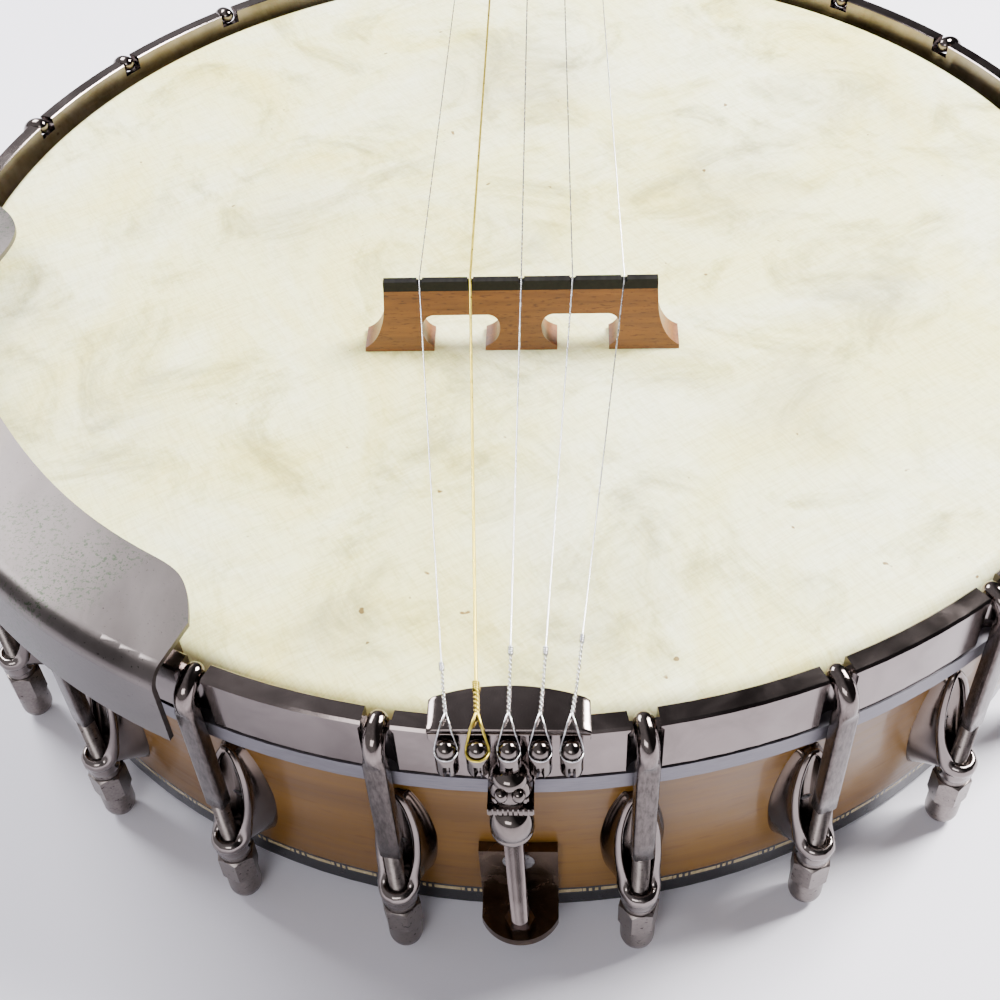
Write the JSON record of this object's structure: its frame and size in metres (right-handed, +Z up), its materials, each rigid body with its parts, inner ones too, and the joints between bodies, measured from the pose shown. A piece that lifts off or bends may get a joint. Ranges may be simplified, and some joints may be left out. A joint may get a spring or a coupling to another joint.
{
  "type": "open-back five-string banjo",
  "caption": "Open-back banjo: wooden pot with a tensioned head, bracket hooks, armrest, tailpiece, movable bridge and a fretted neck with friction pegs.",
  "frame": {"origin": "on the axis of the pot, in the plane that the closed ends of the bracket nuts stand on", "axes": "+Z up through the head, +Y along the neck to the peghead, +X to the first string's side"},
  "size_m": [0.3004, 0.9592, 0.0873],
  "materials": {
    "maple": "gloss lacquered honey maple",
    "binding": "black binding",
    "purfling": "cream and black marquetry line",
    "brass": "plain brass",
    "skin_head": "mottled translucent vellum",
    "aluminium": "matte grey-blue",
    "nickel": "polished nickel plate",
    "satin_nickel": "worn satin nickel plate",
    "steel": "plain steel",
    "string_steel": "bright steel wire",
    "wound_bronze": "bronze wound wire",
    "ebony": "oiled ebony",
    "beech": "flecked beech, satin",
    "bone": "polished bone",
    "pearl": "pearl shell",
    "nickel_silver": "polished fret wire",
    "ivoroid": "grained cream plastic"
  },
  "bodies": {
    "root": {"armrest": "satin_nickel", "armrest_clamps": "nickel", "bracket_hooks": "nickel", "bracket_nuts": "nickel", "bracket_shoes": "nickel", "coordinator_rod": "steel", "fifth_peg_bushing": "nickel", "fifth_string_pip": "bone", "fingerboard": "ebony", "flesh_hoop": "aluminium", "fret_markers": "pearl", "frets": "nickel_silver", "head": "skin_head", "heel_cap": "ebony", "neck": "maple", "neck_lag_bolts": "steel", "peg_front_bushings": "nickel", "peg_rear_collars": "nickel", "peghead_overlay": "ebony", "pot_rod_nuts": "steel", "pot_rod_washers": "steel", "rim": "maple", "rim_binding": "binding", "rim_purfling": "purfling", "shoe_bolts": "steel", "shoe_washers": "steel", "string_1": "string_steel", "string_2": "string_steel", "string_3": "string_steel", "string_4": "wound_bronze", "string_5": "string_steel", "string_nut": "bone", "tailpiece": "nickel", "tailpiece_bracket": "nickel", "tailpiece_hanger_bolt": "nickel", "tailpiece_hanger_nuts": "nickel", "tension_hoop": "nickel", "tone_ring": "brass", "truss_cover_screws": "nickel", "truss_rod": "steel", "truss_rod_cover": "binding"},
    "bridge": {"bridge_body": "beech", "bridge_cap": "ebony"},
    "peg_1": {"peg_1_shaft": "nickel", "peg_1_button": "ivoroid", "peg_1_screw": "nickel"},
    "peg_2": {"peg_2_shaft": "nickel", "peg_2_button": "ivoroid", "peg_2_screw": "nickel"},
    "peg_3": {"peg_3_shaft": "nickel", "peg_3_button": "ivoroid", "peg_3_screw": "nickel"},
    "peg_4": {"peg_4_shaft": "nickel", "peg_4_button": "ivoroid", "peg_4_screw": "nickel"},
    "peg_5": {"peg_5_shaft": "nickel", "peg_5_button": "ivoroid", "peg_5_screw": "nickel"}
  },
  "joints": [
    {"name": "bridge_slide", "type": "slide", "parent": "root", "child": "bridge", "axis": [0, 1, 0], "range_m": [-0.0025, 0.0025]},
    {"name": "peg_1_turn", "type": "hinge", "parent": "root", "child": "peg_1", "pos_m": [0.02, 0.69431, 0.05722], "axis": [0, 0.1855, 0.9826], "continuous": true},
    {"name": "peg_2_turn", "type": "hinge", "parent": "root", "child": "peg_2", "pos_m": [0.018, 0.74737, 0.04721], "axis": [0, 0.1855, 0.9826], "continuous": true},
    {"name": "peg_3_turn", "type": "hinge", "parent": "root", "child": "peg_3", "pos_m": [-0.018, 0.74737, 0.04721], "axis": [0, 0.1855, 0.9826], "continuous": true},
    {"name": "peg_4_turn", "type": "hinge", "parent": "root", "child": "peg_4", "pos_m": [-0.02, 0.69431, 0.05722], "axis": [0, 0.1855, 0.9826], "continuous": true},
    {"name": "peg_5_turn", "type": "hinge", "parent": "root", "child": "peg_5", "pos_m": [-0.01633, 0.4931, 0.06145], "axis": [1, 0, 0], "continuous": true}
  ]
}
